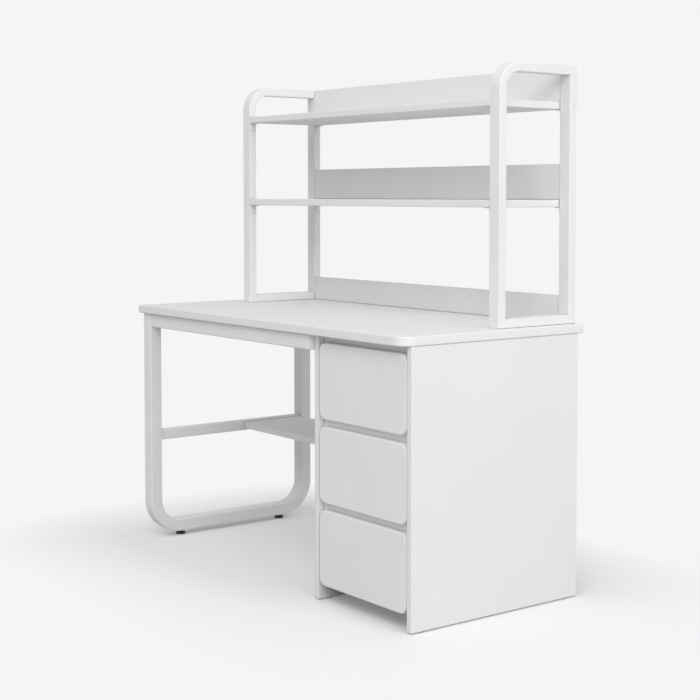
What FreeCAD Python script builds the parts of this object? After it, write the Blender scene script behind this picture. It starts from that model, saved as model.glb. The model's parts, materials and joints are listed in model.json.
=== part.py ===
"""Student desk with a hutch: bent tube leg, drawer pedestal on telescopic slides, tube-framed shelves.

Millimetres, +Z up. The origin is on the floor under the middle of the desktop, and the front faces -Y.
"""
import FreeCAD, Part
import math
import os
import re
import Sketcher

V = FreeCAD.Vector

# Driving sizes
SIZES = {
    "desk_length": 1346, "desk_depth": 636, "desk_height": 750,
    "desktop_thick": 24, "near_corner": 45, "desktop_corner": 8, "desktop_edge": 2,
    "leg_width": 46, "leg_depth": 39, "leg_wall": 2, "leg_bend": 110, "tube_ease": 2,
    "leg_inset": 18, "leg_front": 10, "leg_back": 3, "foot_height": 14,
    "crossbar_top": 350, "crossbar_tall": 33, "crossbar_wide": 26, "bar_wall": 1.5,
    "apron_tall": 43, "apron_wide": 25, "apron_setback": 3,
    "foot_place": 118, "foot_pad": 30, "foot_pad_tall": 9, "stem_size": 8, "stem_long": 26,
    "bush_size": 14, "bush_flange": 20, "bush_flange_tall": 1.5, "bush_long": 14, "thread_gap": 0.3,
    "lower_shelf_deep": 226, "lower_shelf_thick": 20, "lower_shelf_drop": 6,
    "pedestal_width": 413, "pedestal_inset": 3, "pedestal_front": 29, "pedestal_back": 21,
    "panel_thick": 18, "panel_edge": 1.2, "back_thick": 12,
    "glide_tall": 3, "glide_size": 14, "glide_place": 40,
    "front_tall": 206, "front_thick": 18, "front_corner": 25, "front_edge": 3, "front_gap": 21,
    "front_top_gap": 21, "front_side_gap": 2.5, "rail_tall": 40, "rail_thick": 18, "rail_gap": 1,
    "box_tall": 150, "box_raise": 26, "box_rear_gap": 36, "box_side": 12, "box_back": 12,
    "bottom_thick": 5, "groove_deep": 6, "groove_up": 10,
    "slide_rear_gap": 1, "slide_tall": 45, "slide_wide": 12.7, "slide_sheet": 1.2, "slide_gap": 0.5,
    "outer_reach": 9, "middle_start": 1.7, "middle_reach": 9.3, "inner_reach": 5.5,
    "hutch_tall": 700, "hutch_deep": 283, "hutch_left_inset": 92, "hutch_right_inset": 26,
    "hutch_back": 10, "hutch_width": 40, "hutch_tube": 25, "hutch_wall": 1.5, "hutch_bend": 70,
    "shelf_thick": 20, "shelf_edge": 1.5, "middle_shelf_up": 338, "upper_board_tall": 96,
    "board_thick": 12, "board_recess": 2, "lower_board_tall": 76, "middle_board_tall": 98,
    "tab_long": 20, "tab_wide": 20, "tab_drop": 24, "tab_sheet": 2, "tab_inset": 3,
    "plug_flange": 2, "plug_core": 14, "plug_gap": 0.2,
}

# Places and sizes that follow from the driving ones
DERIVED = {
    "front": "-desk_depth / 2",
    "back": "desk_depth / 2",
    "left": "-desk_length / 2",
    "right": "desk_length / 2",
    "under": "desk_height - desktop_thick",
    "leg_left": "left + leg_inset",
    "leg_right": "leg_left + leg_width",
    "leg_y0": "front + leg_front",
    "leg_y1": "back - leg_back",
    "pedestal_right": "right - pedestal_inset",
    "pedestal_left": "pedestal_right - pedestal_width",
    "pedestal_y0": "front + pedestal_front",
    "pedestal_y1": "back - pedestal_back",
    "pedestal_mid": "pedestal_right - pedestal_width / 2",
    "inner_width": "pedestal_width - 2 * panel_thick",
    "apron_long": "pedestal_left - leg_right",
    "front_bottom": "under - front_top_gap - 3 * front_tall - 2 * front_gap",
    "rail_lap": "(rail_tall - front_gap) / 2",
    "rail_y": "pedestal_y0 + front_thick + rail_gap",
    "box_y": "pedestal_y0 + front_thick",
    "box_width": "inner_width - 2 * slide_wide",
    "box_deep": "pedestal_y1 - back_thick - box_rear_gap - box_y",
    "slide_y": "rail_y + rail_thick",
    "slide_long": "box_y + box_deep - slide_rear_gap - slide_y",
    "hutch_left": "left + hutch_left_inset",
    "hutch_right": "right - hutch_right_inset",
    "hutch_y1": "back - hutch_back",
    "hutch_y0": "hutch_y1 - hutch_deep",
    "hutch_span": "hutch_right - hutch_left - 2 * hutch_width",
    "board_y": "hutch_y1 - hutch_tube + board_recess",
    "shelf_deep": "board_y + board_thick - hutch_y0",
    "post_tall": "hutch_tall - hutch_tube",
    "hutch_top": "desk_height + hutch_tall",
    "middle_shelf_top": "desk_height + middle_shelf_up",
    "upper_shelf_top": "hutch_top - upper_board_tall",
}

doc = FreeCAD.newDocument("student_desk")
sheet = doc.addObject("Spreadsheet::Sheet", "Sizes")
for row, (alias, value) in enumerate(SIZES.items(), start=1):
    sheet.set(f"A{row}", alias)
    sheet.set(f"B{row}", str(value))
    sheet.setAlias(f"B{row}", alias)
doc.recompute()

nodes = []


def formula(text):
    """Turn plain size names into references to the sheet."""
    def swap(match):
        word = match.group(0)
        if word == "min":
            return word
        if word in DERIVED:
            return "(" + formula(DERIVED[word]) + ")"
        return "Sizes." + word
    return re.sub(r"[a-z][a-z0-9_]*", swap, str(text))


def place(piece, x, y, z):
    """Bind a piece's position to the sheet."""
    for axis, text in zip("xyz", (x, y, z)):
        piece.setExpression(f"Placement.Base.{axis}", formula(text))


def new_body(label, x, y, z):
    body = doc.addObject("PartDesign::Body", label)
    body.Label = label
    place(body, x, y, z)
    nodes.append(body)
    return body


def new_sketch(body, plane, name):
    """A sketch on one of the body's own origin planes."""
    sketch = body.newObject("Sketcher::SketchObject", name)
    support = next(f for f in body.Origin.OriginFeatures if f.Role == plane)
    sketch.AttachmentSupport = [(support, "")]
    sketch.MapMode = "FlatFace"
    return sketch


def pin_point(sketch, line, end, x, y):
    """Fix a line's end at a place given by formulas."""
    for kind, axis, text in (("DistanceX", -2, x), ("DistanceY", -1, y)):
        if str(text) == "0":
            sketch.addConstraint(Sketcher.Constraint("PointOnObject", line, end, axis))
        else:
            number = sketch.addConstraint(Sketcher.Constraint(kind, -1, 1, line, end, 1.0))
            sketch.setExpression(f"Constraints[{number}]", formula(text))


def draw_loop(sketch, points):
    """A closed outline through the given corners."""
    first = sketch.GeometryCount
    count = len(points)
    for i in range(count):
        start = V(i, i * i, 0)
        end = V((i + 1) % count, ((i + 1) % count) ** 2, 0)
        sketch.addGeometry(Part.LineSegment(start, end))
    for i in range(count):
        sketch.addConstraint(Sketcher.Constraint("Coincident", first + i, 2, first + (i + 1) % count, 1))
    for i, (x, y) in enumerate(points):
        pin_point(sketch, first + i, 1, x, y)


def rectangle(x, y, width, tall):
    """Corners of a rectangle from its lowest corner."""
    return [(x, y), (f"{x} + {width}", y), (f"{x} + {width}", f"{y} + {tall}"), (x, f"{y} + {tall}")]


def ring(x, y, width, tall, wall):
    """Outer and inner corners of a hollow section."""
    outer = rectangle(x, y, width, tall)
    inner = rectangle(f"{x} + {wall}", f"{y} + {wall}", f"{width} - 2 * {wall}", f"{tall} - 2 * {wall}")
    return [outer, inner]


def pad(body, sketch, length, reverse=False):
    feature = body.newObject("PartDesign::Pad", "Pad")
    feature.Profile = sketch
    feature.setExpression("Length", formula(length))
    feature.Reversed = reverse
    doc.recompute()
    return feature


def soften(body, feature, size, wanted, kind="Fillet"):
    """Round, or chamfer, the edges of a feature that the test picks."""
    names = [f"Edge{i}" for i, edge in enumerate(feature.Shape.Edges, start=1) if wanted(edge)]
    eased = body.newObject(f"PartDesign::{kind}", "Eased")
    eased.Base = (feature, names)
    eased.setExpression("Radius" if kind == "Fillet" else "Size", formula(size))
    doc.recompute()
    return eased


def along(edge, direction):
    """True for a straight edge that runs along a direction."""
    if edge.Curve.TypeId != "Part::GeomLine":
        return False
    return edge.Curve.Direction.cross(direction).Length < 1e-6


def board(label, size, corner, edge):
    """A flat board with a small chamfer on every edge."""
    body = new_body(label, *corner)
    sketch = new_sketch(body, "XY_Plane", "Outline")
    draw_loop(sketch, rectangle("0", "0", size[0], size[1]))
    feature = pad(body, sketch, size[2])
    soften(body, feature, edge, lambda e: True, "Chamfer")
    return body


def block(label, size, corner):
    """A plain sawn board."""
    box = doc.addObject("Part::Box", label)
    box.Label = label
    for name, text in zip(("Length", "Width", "Height"), size):
        box.setExpression(name, formula(text))
    place(box, *corner)
    nodes.append(box)
    return box


PLANES = {"x": "YZ_Plane", "y": "XZ_Plane", "z": "XY_Plane"}
AXES = {"x": V(1, 0, 0), "y": V(0, 1, 0), "z": V(0, 0, 1)}


def tube(label, axis, section, wall, length, corner):
    """A straight hollow tube with eased long corners."""
    body = new_body(label, *corner)
    sketch = new_sketch(body, PLANES[axis], "Section")
    for loop in ring("0", "0", section[0], section[1], wall):
        draw_loop(sketch, loop)
    feature = pad(body, sketch, length, reverse=axis == "y")
    box = feature.Shape.BoundBox
    limits = [(box.XMin, box.XMax), (box.YMin, box.YMax), (box.ZMin, box.ZMax)]

    def outer_corner(edge):
        if not along(edge, AXES[axis]):
            return False
        middle = edge.CenterOfMass
        spots = [(value, limit) for name, value, limit in zip("xyz", middle, limits) if name != axis]
        return all(min(abs(value - a) for a in limit) < 0.01 for value, limit in spots)

    soften(body, feature, f"min(tube_ease; {wall} * 4 / 3)", outer_corner, "Chamfer")
    return body


def draw_path(sketch, points, directions, radius):
    """Straight runs joined by tangent arcs, each turning to the left."""
    steps = {"up": V(0, 1, 0), "down": V(0, -1, 0), "left": V(-1, 0, 0)}
    steps["right"] = -steps["left"]
    run, bend = 400, 60
    here = V(0, 0, 0)
    lines = []
    for way in directions:
        there = here + steps[way] * run
        lines.append(sketch.addGeometry(Part.LineSegment(here, there)))
        kind = "Vertical" if way in ("up", "down") else "Horizontal"
        sketch.addConstraint(Sketcher.Constraint(kind, lines[-1]))
        here = there + steps[way] * bend
    for before, after, way in zip(lines, lines[1:], directions[1:]):
        centre = sketch.Geometry[before].EndPoint + steps[way] * bend
        spoke = steps[way] * -1
        begin = math.atan2(spoke.y, spoke.x)
        circle = Part.Circle(centre, V(0, 0, 1), bend)
        arc = sketch.addGeometry(Part.ArcOfCircle(circle, begin, begin + math.pi / 2))
        sketch.addConstraint(Sketcher.Constraint("Tangent", before, 2, arc, 1))
        sketch.addConstraint(Sketcher.Constraint("Tangent", arc, 2, after, 1))
        number = sketch.addConstraint(Sketcher.Constraint("Radius", arc, bend))
        sketch.setExpression(f"Constraints[{number}]", formula(radius))
    pin_point(sketch, lines[0], 1, *points[0])
    pin_point(sketch, lines[-1], 2, *points[-1])
    for line, (x, y) in zip(lines[1:-1], points[1:-1]):
        number = sketch.addConstraint(Sketcher.Constraint("DistanceY", -1, 1, line, 1, -1.0))
        sketch.setExpression(f"Constraints[{number}]", formula(y))


def bent_tube(label, corner, plane, section, wall, path):
    """A hollow tube swept along a bent path, with eased long corners."""
    body = new_body(label, *corner)
    spine = new_sketch(body, "YZ_Plane", "Path")
    draw_path(spine, *path)
    profile = new_sketch(body, plane, "Section")
    for loop in ring(*section, wall):
        draw_loop(profile, loop)
    doc.recompute()
    pipe = body.newObject("PartDesign::AdditivePipe", "Bent")
    pipe.Profile = profile
    pipe.Spine = spine
    doc.recompute()
    outer = profile.Shape.BoundBox

    def outer_corner(edge):
        if edge.Curve.TypeId != "Part::GeomLine":
            return False
        return [on_corner(vertex.Point, outer) for vertex in edge.Vertexes].count(True) == 1

    soften(body, pipe, f"min(tube_ease; {wall} * 4 / 3)", outer_corner, "Chamfer")
    return body


def on_corner(point, box):
    """True where a point is one of a flat box's corners."""
    spots = ((point.x, box.XMin, box.XMax), (point.y, box.YMin, box.YMax), (point.z, box.ZMin, box.ZMax))
    return all(min(abs(value - low), abs(value - high)) < 0.01 for value, low, high in spots)


def desktop():
    """The worktop, with one wide round corner by the drawers and an eased edge all round."""
    body = new_body("desktop", "left", "front", "under")
    sketch = new_sketch(body, "XY_Plane", "Outline")
    draw_loop(sketch, rectangle("0", "0", "desk_length", "desk_depth"))
    feature = pad(body, sketch, "desktop_thick")
    corners = [e.CenterOfMass for e in feature.Shape.Edges if along(e, AXES["z"])]
    near = max(corners, key=lambda spot: spot.x - spot.y)
    others = [spot for spot in corners if spot != near]
    for size, spots in (("near_corner", [near]), ("desktop_corner", others)):
        feature = soften(body, feature, size, lambda e: along(e, AXES["z"]) and e.CenterOfMass in spots)
    soften(body, feature, "desktop_edge", lambda e: not along(e, AXES["z"]), "Chamfer")


def leg_frame():
    """The bent leg at the left, its crossbar, and the rails under the desktop."""
    span = "(leg_y1 - leg_y0)"
    drop = "(under - foot_height)"
    middle = "leg_depth / 2"
    points = [(middle, "0"), ("0", f"{middle} - {drop}"), (f"{span} - {middle}", "0")]
    path = (points, ("down", "right", "up"), f"leg_bend - {middle}")
    section = ("0", "0", "leg_width", "leg_depth")
    leg = bent_tube("left_leg_tube", ("leg_left", "leg_y0", "under"), "XY_Plane", section, "leg_wall", path)
    drill_leg(leg, span, drop)
    inner = f"{span} - 2 * leg_depth"
    behind = "leg_y0 + leg_depth"
    bar_x = "leg_left + (leg_width - crossbar_wide) / 2"
    tube("left_leg_crossbar", "y", ("crossbar_wide", "crossbar_tall"), "bar_wall", inner,
         (bar_x, behind, "crossbar_top - crossbar_tall"))
    tube("left_leg_top_rail", "y", ("apron_wide", "apron_tall"), "bar_wall", inner,
         ("leg_left + (leg_width - apron_wide) / 2", behind, "under - apron_tall"))
    low = "under - apron_tall"
    tube("front_apron_rail", "x", ("apron_wide", "apron_tall"), "bar_wall", "apron_long",
         ("leg_right", "leg_y0 + apron_setback", low))
    tube("rear_apron_rail", "x", ("apron_wide", "apron_tall"), "bar_wall", "apron_long",
         ("leg_right", "leg_y1 - apron_setback - apron_wide", low))
    shelf_x = f"{bar_x} + crossbar_wide"
    board("lower_shelf", (f"pedestal_left - ({shelf_x})", "lower_shelf_deep", "lower_shelf_thick"),
          (shelf_x, "leg_y1 - leg_depth - lower_shelf_deep",
           "crossbar_top - lower_shelf_drop - lower_shelf_thick"), "shelf_edge")


def drill_leg(leg, span, drop):
    """Bore the two holes for the threaded bushes through the lower wall of the leg."""
    before = leg.Shape.Volume
    sketch = new_sketch(leg, "XY_Plane", "Bores")
    for y in ("foot_place", f"{span} - foot_place"):
        circle = sketch.addGeometry(Part.Circle(V(1, 1, 0), V(0, 0, 1), 5))
        number = sketch.addConstraint(Sketcher.Constraint("Diameter", circle, 10.0))
        sketch.setExpression(f"Constraints[{number}]", formula("bush_size"))
        pin_point(sketch, circle, 3, "leg_width / 2", y)
    sketch.setExpression("AttachmentOffset.Base.z", formula(f"-{drop}"))
    pocket = leg.newObject("PartDesign::Pocket", "Bore")
    pocket.Profile = sketch
    pocket.Reversed = True
    pocket.setExpression("Length", formula("leg_wall"))
    doc.recompute()
    if leg.Shape.Volume >= before:
        raise RuntimeError("the bush holes missed the leg")


def revolved(label, outline, corner):
    """A turned piece from its half outline in the XZ plane."""
    body = new_body(label, *corner)
    sketch = new_sketch(body, "XZ_Plane", "Half outline")
    draw_loop(sketch, outline)
    turn = body.newObject("PartDesign::Revolution", "Turned")
    turn.Profile = sketch
    turn.ReferenceAxis = (sketch, ["V_Axis"])
    turn.Angle = 360
    doc.recompute()
    return body


def levelling_feet():
    """Screw feet under the leg, each in a flanged bush, to take up an uneven floor."""
    bore = "stem_size / 2 + thread_gap"
    for name, y in (("front", "leg_y0 + foot_place"), ("rear", "leg_y1 - foot_place")):
        x = "leg_left + leg_width / 2"
        pad_radius = "foot_pad / 2"
        stem_radius = "stem_size / 2"
        stem_top = "foot_pad_tall + stem_long"
        outline = [("0", "0"), (pad_radius, "0"), (pad_radius, "foot_pad_tall"),
                   (stem_radius, "foot_pad_tall"), (stem_radius, stem_top), ("0", stem_top)]
        revolved(f"{name}_levelling_foot", outline, (x, y, "0"))
        outline = [(bore, "-bush_flange_tall"), ("bush_flange / 2", "-bush_flange_tall"),
                   ("bush_flange / 2", "0"), ("bush_size / 2", "0"),
                   ("bush_size / 2", "bush_long"), (bore, "bush_long")]
        revolved(f"{name}_foot_bush", outline, (x, y, "foot_height"))


def pedestal():
    """Side panels down to the floor, rails behind the drawer gaps, a back and floor glides."""
    deep = "pedestal_y1 - pedestal_y0"
    tall = "under - glide_tall"
    for name, x in (("left", "pedestal_left"), ("right", "pedestal_right - panel_thick")):
        board(f"pedestal_{name}_panel", ("panel_thick", deep, tall),
              (x, "pedestal_y0", "glide_tall"), "panel_edge")
    inside = "pedestal_left + panel_thick"
    block("pedestal_back_panel", ("inner_width", "back_thick", "under - front_bottom"),
          (inside, "pedestal_y1 - back_thick", "front_bottom"))
    block("pedestal_top_rail", ("inner_width", "rail_thick", "front_top_gap + rail_lap"),
          (inside, "rail_y", "under - front_top_gap - rail_lap"))
    for name, number in (("upper", 1), ("lower", 2)):
        gap_middle = f"under - front_top_gap - {number} * (front_tall + front_gap) + front_gap / 2"
        block(f"pedestal_{name}_rail", ("inner_width", "rail_thick", "rail_tall"),
              (inside, "rail_y", f"{gap_middle} - rail_tall / 2"))
    glides()


def glides():
    """Nail-on glides, two under each side panel."""
    body = new_body("pedestal_glides", "pedestal_left", "pedestal_y0", "0")
    sketch = new_sketch(body, "XY_Plane", "Discs")
    for x in ("panel_thick / 2", "pedestal_width - panel_thick / 2"):
        for y in ("glide_place", "pedestal_y1 - pedestal_y0 - glide_place"):
            circle = sketch.addGeometry(Part.Circle(V(1, 1, 0), V(0, 0, 1), 5))
            number = sketch.addConstraint(Sketcher.Constraint("Diameter", circle, 10.0))
            sketch.setExpression(f"Constraints[{number}]", formula("glide_size"))
            pin_point(sketch, circle, 3, x, y)
    pad(body, sketch, "glide_tall")


def drawer(name, number):
    """One drawer: a rounded front on a box with a grooved-in bottom, hung on telescopic slides."""
    top = f"under - front_top_gap - {number} * (front_tall + front_gap)"
    low = f"({top} - front_tall)"
    front_width = "inner_width - 2 * front_side_gap"
    body = new_body(f"{name}_front", "pedestal_left + panel_thick + front_side_gap",
                    "pedestal_y0 + front_thick", low)
    sketch = new_sketch(body, "XZ_Plane", "Outline")
    draw_loop(sketch, rectangle("0", "0", front_width, "front_tall"))
    feature = pad(body, sketch, "front_thick")
    feature = soften(body, feature, "front_corner", lambda e: along(e, AXES["y"]))
    face_y = feature.Shape.BoundBox.YMin
    soften(body, feature, "front_edge", lambda e: abs(e.BoundBox.YMax - face_y) < 0.01)
    box_low = f"{low} + box_raise"
    half = "box_width / 2"
    box_side(f"{name}_left_side", (f"pedestal_mid - {half}", "box_y", box_low), "box_side")
    box_side(f"{name}_right_side", (f"pedestal_mid + {half} - box_side", "box_y", box_low), "0")
    between = "box_width - 2 * box_side"
    floor_top = "(groove_up + bottom_thick)"
    block(f"{name}_back", (between, "box_back", f"box_tall - {floor_top}"),
          (f"pedestal_mid - {half} + box_side", "box_y + box_deep - box_back", f"{box_low} + {floor_top}"))
    block(f"{name}_bottom", (f"{between} + 2 * groove_deep", "box_deep", "bottom_thick"),
          (f"pedestal_mid - {half} + box_side - groove_deep", "box_y", f"{box_low} + groove_up"))
    slide_set(name, f"{box_low} + box_tall / 2")


def box_side(label, corner, open_face):
    """A drawer side with the groove for the bottom in its inner face."""
    body = new_body(label, *corner)
    sketch = new_sketch(body, "XZ_Plane", "Section")
    groove_top = "groove_up + bottom_thick"
    if open_face == "0":
        outline = [("0", "0"), ("box_side", "0"), ("box_side", "box_tall"), ("0", "box_tall"),
                   ("0", groove_top), ("groove_deep", groove_top),
                   ("groove_deep", "groove_up"), ("0", "groove_up")]
    else:
        floor = "box_side - groove_deep"
        outline = [("0", "0"), ("box_side", "0"), ("box_side", "groove_up"), (floor, "groove_up"),
                   (floor, groove_top), ("box_side", groove_top), ("box_side", "box_tall"),
                   ("0", "box_tall")]
    draw_loop(sketch, outline)
    pad(body, sketch, "box_deep", reverse=True)


def slide_set(name, height):
    """A pair of three-part telescopic slides: cabinet, middle and drawer members, one inside the other."""
    wall = "-inner_width / 2"
    outer_half = "slide_tall / 2"
    middle_half = f"({outer_half} - slide_sheet - slide_gap)"
    inner_half = f"({middle_half} - slide_sheet - slide_gap)"
    members = {
        "slide_outer": channel(wall, "outer_reach", outer_half, 1),
        "slide_middle": i_beam(f"{wall} + middle_start", "middle_reach", middle_half),
        "slide_inner": channel(f"{wall} + slide_wide", "inner_reach", inner_half, -1),
    }
    for part, outline in members.items():
        body = new_body(f"{name}_{part}", "pedestal_mid", "slide_y", height)
        sketch = new_sketch(body, "XZ_Plane", "Section")
        draw_loop(sketch, outline)
        feature = pad(body, sketch, "slide_long", reverse=True)
        pair = body.newObject("PartDesign::Mirrored", "Pair")
        pair.Originals = [feature]
        plane = next(f for f in body.Origin.OriginFeatures if f.Role == "YZ_Plane")
        pair.MirrorPlane = (plane, [""])
        body.Tip = pair
        doc.recompute()


def channel(web, reach, half, side):
    """Corners of a rolled channel, open to one side."""
    sign = "+" if side > 0 else "-"
    inner = f"{web} {sign} slide_sheet"
    tip = f"{web} {sign} {reach}"
    low = f"slide_sheet - {half}"
    high = f"{half} - slide_sheet"
    return [(web, f"-{half}"), (tip, f"-{half}"), (tip, low), (inner, low),
            (inner, high), (tip, high), (tip, half), (web, half)]


def i_beam(start, reach, half):
    """Corners of the middle member, open to both sides."""
    end = f"{start} + {reach}"
    near = f"{start} + ({reach} - slide_sheet) / 2"
    far = f"{near} + slide_sheet"
    low = f"slide_sheet - {half}"
    high = f"{half} - slide_sheet"
    return [(start, f"-{half}"), (end, f"-{half}"), (end, low), (far, low), (far, high), (end, high),
            (end, half), (start, half), (start, high), (near, high), (near, low), (start, low)]


def hutch():
    """Two bent tube side frames on the desktop, two shelves and three back boards."""
    for name, x in (("left", "hutch_left"), ("right", "hutch_right - hutch_width")):
        side_frame(name, x)
    inner_x = "hutch_left + hutch_width"
    for name in ("middle", "upper"):
        board(f"hutch_{name}_shelf", ("hutch_span", "shelf_deep", "shelf_thick"),
              (inner_x, "hutch_y0", f"{name}_shelf_top - shelf_thick"), "shelf_edge")
    boards = (("lower", "lower_board_tall", "desk_height"),
              ("middle", "middle_board_tall", "middle_shelf_top"),
              ("upper", "upper_board_tall", "upper_shelf_top"))
    for name, tall, low in boards:
        board(f"hutch_{name}_back_board", ("hutch_span", "board_thick", tall),
              (inner_x, "board_y", low), "shelf_edge")
    shelf_tabs()
    tube_plugs()


def side_frame(name, x):
    """A bent front post and top rail, a straight rear post and a bottom rail."""
    middle = "hutch_tube / 2"
    points = [("0", f"hutch_tall - {middle}"), (f"{middle} + plug_flange - hutch_deep", "0")]
    path = (points, ("left", "down"), f"hutch_bend - {middle}")
    section = ("0", "hutch_tall - hutch_tube", "hutch_width", "hutch_tube")
    bent_tube(f"hutch_{name}_bent_tube", (x, "hutch_y1 - plug_flange", "desk_height"), "XZ_Plane",
              section, "hutch_wall", path)
    tube(f"hutch_{name}_rear_post", "z", ("hutch_width", "hutch_tube"), "hutch_wall", "post_tall",
         (x, "hutch_y1 - hutch_tube", "desk_height"))
    tube(f"hutch_{name}_bottom_rail", "y", ("hutch_width", "hutch_tube"), "hutch_wall",
         "hutch_deep - 2 * hutch_tube", (x, "hutch_y0 + hutch_tube", "desk_height"))


def shelf_tabs():
    """Angle tabs on the posts' inner faces, under the ends of both shelves."""
    body = new_body("hutch_shelf_tabs", "(hutch_left + hutch_right) / 2", "0", "0")
    wall = "hutch_span / 2"
    for y in ("hutch_y0 + tab_inset", "hutch_y1 - hutch_tube + tab_inset"):
        sketch = new_sketch(body, "XZ_Plane", "Angles")
        sketch.setExpression("AttachmentOffset.Base.z", formula(f"-({y})"))
        for shelf in ("middle", "upper"):
            top = f"{shelf}_shelf_top - shelf_thick"
            for side in ("-", ""):
                tip, face = f"{wall} - tab_wide", f"{wall} - tab_sheet"
                under_tab, foot = f"{top} - tab_sheet", f"{top} - tab_drop"
                outline = [(wall, top), (tip, top), (tip, under_tab),
                           (face, under_tab), (face, foot), (wall, foot)]
                draw_loop(sketch, [(f"{side}({across})", up) for across, up in outline])
        pad(body, sketch, "tab_long", reverse=True)


def tube_plugs():
    """Push-in caps that close the rear ends of the two top rails."""
    body = new_body("hutch_tube_plugs", "0", "hutch_y1", "desk_height")
    low = "hutch_tall - hutch_tube"
    fit = "(hutch_wall + plug_gap)"
    steps = (("0", "plug_flange"), (fit, "plug_flange + plug_core"))
    for inset, reach in steps:
        sketch = new_sketch(body, "XZ_Plane", "Cap")
        for x in ("hutch_left", "hutch_right - hutch_width"):
            corner = f"{x} + {inset}"
            draw_loop(sketch, rectangle(corner, f"{low} + {inset}", f"hutch_width - 2 * {inset}",
                                        f"hutch_tube - 2 * {inset}"))
        pad(body, sketch, reach)


def write_parts():
    """Test every object, then write each piece to its own file."""
    doc.recompute()
    for thing in doc.Objects:
        if "Invalid" in thing.State or "Error" in thing.State:
            raise RuntimeError(f"{thing.Label} failed: {thing.State}")
    for node in nodes:
        if node.Shape.isNull() or not node.Shape.isValid() or not node.Shape.Solids:
            raise RuntimeError(f"{node.Label} has no valid solid")
    os.makedirs("parts", exist_ok=True)
    for node in nodes:
        node.Shape.exportStep(f"parts/{node.Label}.step")
    print(len(nodes), "pieces")


desktop()
leg_frame()
levelling_feet()
pedestal()
for drawer_number, drawer_name in enumerate(("top_drawer", "middle_drawer", "bottom_drawer")):
    drawer(drawer_name, drawer_number)
hutch()
write_parts()
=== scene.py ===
# %% [markdown]
# A white student desk with a hutch. The frame brings in every board, tube and drawer slide at its real size
# and place. This lesson gives each of them its finish, bends the steel tubes again with rounded corners,
# adds the small metalwork, and then lights and photographs the desk.
# Everything is in metres, with +Z up and the front of the desk facing -Y.

# %% Load the frame
import json
import math

import bpy
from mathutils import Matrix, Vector


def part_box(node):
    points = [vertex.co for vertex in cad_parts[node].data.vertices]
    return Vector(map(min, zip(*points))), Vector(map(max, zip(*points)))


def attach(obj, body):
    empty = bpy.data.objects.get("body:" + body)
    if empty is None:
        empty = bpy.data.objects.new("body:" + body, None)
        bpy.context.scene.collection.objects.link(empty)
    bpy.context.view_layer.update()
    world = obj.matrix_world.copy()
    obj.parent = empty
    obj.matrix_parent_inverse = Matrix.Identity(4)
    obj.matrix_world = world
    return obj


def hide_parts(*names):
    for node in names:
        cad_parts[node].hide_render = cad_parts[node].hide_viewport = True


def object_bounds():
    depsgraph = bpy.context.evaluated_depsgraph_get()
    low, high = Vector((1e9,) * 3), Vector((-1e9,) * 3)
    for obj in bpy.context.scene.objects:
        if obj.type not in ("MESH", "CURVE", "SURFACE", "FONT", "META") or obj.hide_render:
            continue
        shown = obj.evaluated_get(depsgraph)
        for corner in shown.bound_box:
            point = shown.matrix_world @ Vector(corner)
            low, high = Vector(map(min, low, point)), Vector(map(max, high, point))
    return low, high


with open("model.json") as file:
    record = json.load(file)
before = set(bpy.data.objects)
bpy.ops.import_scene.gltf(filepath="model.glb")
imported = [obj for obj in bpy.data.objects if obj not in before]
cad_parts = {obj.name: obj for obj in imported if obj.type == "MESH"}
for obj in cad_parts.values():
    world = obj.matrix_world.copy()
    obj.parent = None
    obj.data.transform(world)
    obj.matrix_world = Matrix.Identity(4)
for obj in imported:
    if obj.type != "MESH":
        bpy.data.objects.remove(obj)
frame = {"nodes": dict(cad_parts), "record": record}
cad_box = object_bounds()
nodes = frame["nodes"]

# %% [markdown]
# The photograph was taken a little above the worktop, from the right of the drawers, with upright lines kept
# almost upright. A camera that tips down a few degrees and shifts its picture down does the same. A stronger
# shift would straighten the uprights fully, but it would cut the hutch off in views from other sides.

# %% Camera
PICTURE_SIDE = 700  # pixels
SENSOR_WIDTH = 36.0  # millimetres
FOCAL_PIXELS = 1448.9  # the focal length, in pixels of the picture
LENS_AXIS_ROW = 275  # the row of pixels that the lens points at
CAMERA_PLACE = (3.4295, -2.5614, 1.0994)
CAMERA_TURN = 52.978  # degrees to the left, from looking straight at the front
CAMERA_TIP = 3.138  # degrees down from level
LEVEL = 90  # degrees up from an unturned camera, which looks straight down


def put_in_scene(name, data):
    """Make an object of a camera, a lamp or a mesh, and add it to the scene."""
    made = bpy.data.objects.new(name, data)
    bpy.context.scene.collection.objects.link(made)
    return made


lens = bpy.data.cameras.new("photo_camera")
lens.sensor_width = SENSOR_WIDTH
lens.lens = FOCAL_PIXELS * SENSOR_WIDTH / PICTURE_SIDE
lens.shift_y = (LENS_AXIS_ROW - PICTURE_SIDE / 2) / PICTURE_SIDE
camera = put_in_scene("photo_camera", lens)
camera.location = CAMERA_PLACE
camera.rotation_euler = (math.radians(LEVEL - CAMERA_TIP), 0, math.radians(CAMERA_TURN))
bpy.context.scene.camera = camera
print("camera:", round(lens.lens, 1), "mm lens, shift", round(lens.shift_y, 3))

# %% [markdown]
# Materials and Geometry Nodes are both trees of nodes, and every node hands its result on from an output
# socket. A wire stands for such a socket. Sums written with wires add Math nodes, so a formula in the script
# reads like a formula on paper.


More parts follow.
